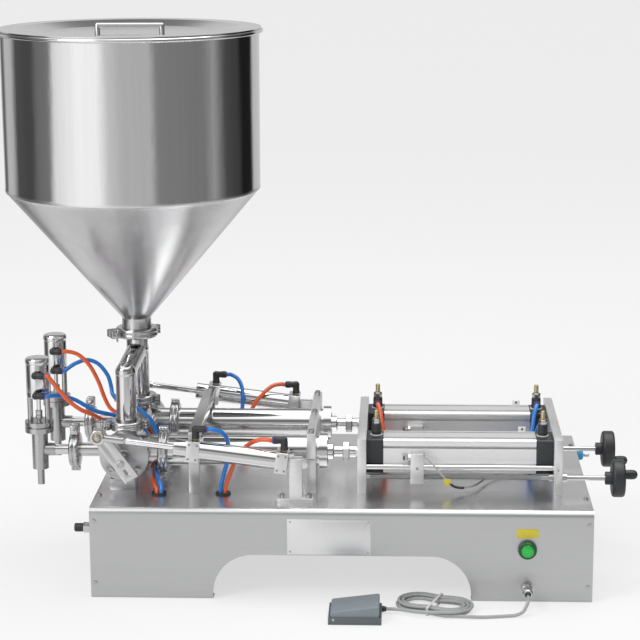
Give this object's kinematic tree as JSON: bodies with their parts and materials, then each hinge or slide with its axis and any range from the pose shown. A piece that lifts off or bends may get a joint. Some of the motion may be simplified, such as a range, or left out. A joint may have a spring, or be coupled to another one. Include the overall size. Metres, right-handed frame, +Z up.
{
  "type": "piston paste filling machine",
  "caption": "Bench-top pneumatic piston filler: shared hopper with lid feeds two filling lines with rotary valves, shut-off nozzles, stroke stops and a foot switch.",
  "frame": {"origin": "centre of the cabinet's footprint and of its four foot holes, on the bench", "axes": "+X from the nozzles to the handwheels, +Y away from the operator, +Z up"},
  "size_m": [1.1739, 0.6354, 1.0113],
  "materials": {
    "brushed_sheet": "fine brushed stainless sheet, near mirror on the deck",
    "polished_steel": "polished stainless",
    "satin_steel": "satin stainless",
    "plate_aluminium": "satin milled plate",
    "barrel_aluminium": "clear anodised profile",
    "cap_black": "black anodised, satin",
    "screw_steel": "bright screws",
    "black_rubber": "matte",
    "black_plastic": "moulded",
    "white_plate": "printed sheet, bare",
    "yellow_label": "sticker, bare",
    "green_lens": "translucent green",
    "green_bezel": "dark green plastic",
    "blue_hose": "polyurethane tube",
    "orange_hose": "polyurethane tube",
    "grey_cord": "grey jacket",
    "pedal_grey": "slate grey",
    "white_tie": "nylon tie",
    "knob_blue": "moulded knob",
    "piston_plastic": "white seal plastic"
  },
  "bodies": {
    "machine": {"cabinet_shell": "brushed_sheet", "end_panels": "brushed_sheet", "panel_screws": "screw_steel", "deck_grommets": "black_rubber", "instruction_plate": "white_plate", "button_label": "yellow_label", "button_housing": "green_bezel", "cable_socket": "black_plastic", "air_inlet": "black_plastic", "cylinder_saddle": "plate_aluminium", "saddle_cap": "plate_aluminium", "drive_plates": "plate_aluminium", "cylinder_bridge": "satin_steel", "swing_brackets": "plate_aluminium", "frame_screws": "screw_steel", "cylinder_tubes": "polished_steel", "tube_end_rings": "polished_steel", "valve_bodies": "polished_steel", "valve_covers": "satin_steel", "feed_manifold": "polished_steel", "pipe_clamps": "polished_steel", "hopper": "polished_steel", "outlet_pipes": "polished_steel", "nozzle_bodies": "satin_steel", "nozzle_cylinders": "polished_steel", "air_cylinder_caps": "cap_black", "air_cylinder_barrels": "barrel_aluminium", "speed_controllers": "black_plastic", "guide_rods": "polished_steel", "sensor_leads": "grey_cord", "blue_hoses": "blue_hose", "orange_hoses": "orange_hose", "valve_bank": "barrel_aluminium", "control_box": "black_plastic", "cord_lead": "grey_cord", "cord_hank": "grey_cord", "cord_tail": "grey_cord", "cord_tie": "white_tie", "cord_plug": "black_plastic", "pedal_base": "pedal_grey"},
    "lid": {"hopper_lid": "polished_steel"},
    "front_piston_body": {"front_piston": "polished_steel"},
    "rear_piston_body": {"rear_piston": "polished_steel"},
    "front_valve": {"front_valve_rotor": "satin_steel"},
    "rear_valve": {"rear_valve_rotor": "satin_steel"},
    "front_swing": {"front_swing_cylinder": "polished_steel"},
    "rear_swing": {"rear_swing_cylinder": "polished_steel"},
    "front_rod": {"front_swing_rod": "polished_steel"},
    "rear_rod": {"rear_swing_rod": "polished_steel"},
    "front_plunger": {"front_nozzle_plunger": "satin_steel"},
    "rear_plunger": {"rear_nozzle_plunger": "satin_steel"},
    "front_screw": {"front_lead_screw": "satin_steel", "front_handwheel": "black_plastic"},
    "rear_screw": {"rear_lead_screw": "satin_steel", "rear_handwheel": "black_plastic"},
    "front_stop": {"front_stop_block": "plate_aluminium"},
    "rear_stop": {"rear_stop_block": "plate_aluminium"},
    "button": {"start_button": "green_lens"},
    "treadle": {"pedal_treadle": "pedal_grey"},
    "knob": {"air_knob": "knob_blue"}
  },
  "joints": [
    {"name": "lid_lift", "type": "slide", "parent": "machine", "child": "lid", "axis": [0, 0, 1], "range_m": [0, 0.12]},
    {"name": "front_stroke", "type": "slide", "parent": "machine", "child": "front_piston_body", "axis": [-1, 0, 0], "range_m": [0, 0.24]},
    {"name": "rear_stroke", "type": "slide", "parent": "machine", "child": "rear_piston_body", "axis": [-1, 0, 0], "range_m": [0, 0.24]},
    {"name": "front_valve_turn", "type": "hinge", "parent": "machine", "child": "front_valve", "pos_m": [-0.4, -0.096, 0.232], "axis": [0, 1, 0], "range_deg": [0, 80]},
    {"name": "rear_valve_turn", "type": "hinge", "parent": "machine", "child": "rear_valve", "pos_m": [-0.4, 0.096, 0.232], "axis": [0, 1, 0], "range_deg": [0, 80]},
    {"name": "front_swing_tilt", "type": "hinge", "parent": "machine", "child": "front_swing", "pos_m": [-0.08, -0.202, 0.2406], "axis": [0, 1, 0], "range_deg": [0, 1]},
    {"name": "front_rod_stroke", "type": "slide", "parent": "front_swing", "child": "front_rod", "axis": [0.9923, 0, -0.124], "range_m": [0, 0.086]},
    {"name": "rear_swing_tilt", "type": "hinge", "parent": "machine", "child": "rear_swing", "pos_m": [-0.08, 0.202, 0.2406], "axis": [0, 1, 0], "range_deg": [0, 1]},
    {"name": "rear_rod_stroke", "type": "slide", "parent": "rear_swing", "child": "rear_rod", "axis": [0.9923, 0, -0.124], "range_m": [0, 0.086]},
    {"name": "front_nozzle_lift", "type": "slide", "parent": "machine", "child": "front_plunger", "axis": [0, 0, 1], "range_m": [0, 0.012]},
    {"name": "rear_nozzle_lift", "type": "slide", "parent": "machine", "child": "rear_plunger", "axis": [0, 0, 1], "range_m": [0, 0.012]},
    {"name": "front_wheel_turn", "type": "hinge", "parent": "machine", "child": "front_screw", "pos_m": [0.3, -0.138, 0.197], "axis": [1, 0, 0], "range_deg": [-4500, 9000]},
    {"name": "front_stop_travel", "type": "slide", "parent": "machine", "child": "front_stop", "axis": [1, 0, 0], "range_m": [-0.064, 0.126]},
    {"name": "rear_wheel_turn", "type": "hinge", "parent": "machine", "child": "rear_screw", "pos_m": [0.3, 0.054, 0.197], "axis": [1, 0, 0], "range_deg": [-4500, 9000]},
    {"name": "rear_stop_travel", "type": "slide", "parent": "machine", "child": "rear_stop", "axis": [1, 0, 0], "range_m": [-0.064, 0.126]},
    {"name": "button_press", "type": "slide", "parent": "machine", "child": "button", "axis": [0, 1, 0], "range_m": [0, 0.003], "stiffness_N_per_m": 800, "springref_m": -0.004},
    {"name": "treadle_press", "type": "hinge", "parent": "machine", "child": "treadle", "pos_m": [-0.009, -0.339, 0.009], "axis": [0, 1, 0], "range_deg": [0, 4], "stiffness_Nm_per_rad": 1.5, "springref_deg": -4.58},
    {"name": "knob_turn", "type": "hinge", "parent": "machine", "child": "knob", "pos_m": [0.459, 0.165, 0.152], "axis": [1, 0, 0], "range_deg": [-150, 150]}
  ],
  "couplings": [
    {"joint": "front_swing_tilt", "follows": "front_valve_turn", "ratio": 0.01194},
    {"joint": "front_rod_stroke", "follows": "front_valve_turn", "m_per_rad": 0.06066},
    {"joint": "front_stop_travel", "follows": "front_wheel_turn", "m_per_rad": 0.00079577},
    {"joint": "rear_swing_tilt", "follows": "rear_valve_turn", "ratio": 0.01194},
    {"joint": "rear_rod_stroke", "follows": "rear_valve_turn", "m_per_rad": 0.06066},
    {"joint": "rear_stop_travel", "follows": "rear_wheel_turn", "m_per_rad": 0.00079577}
  ]
}
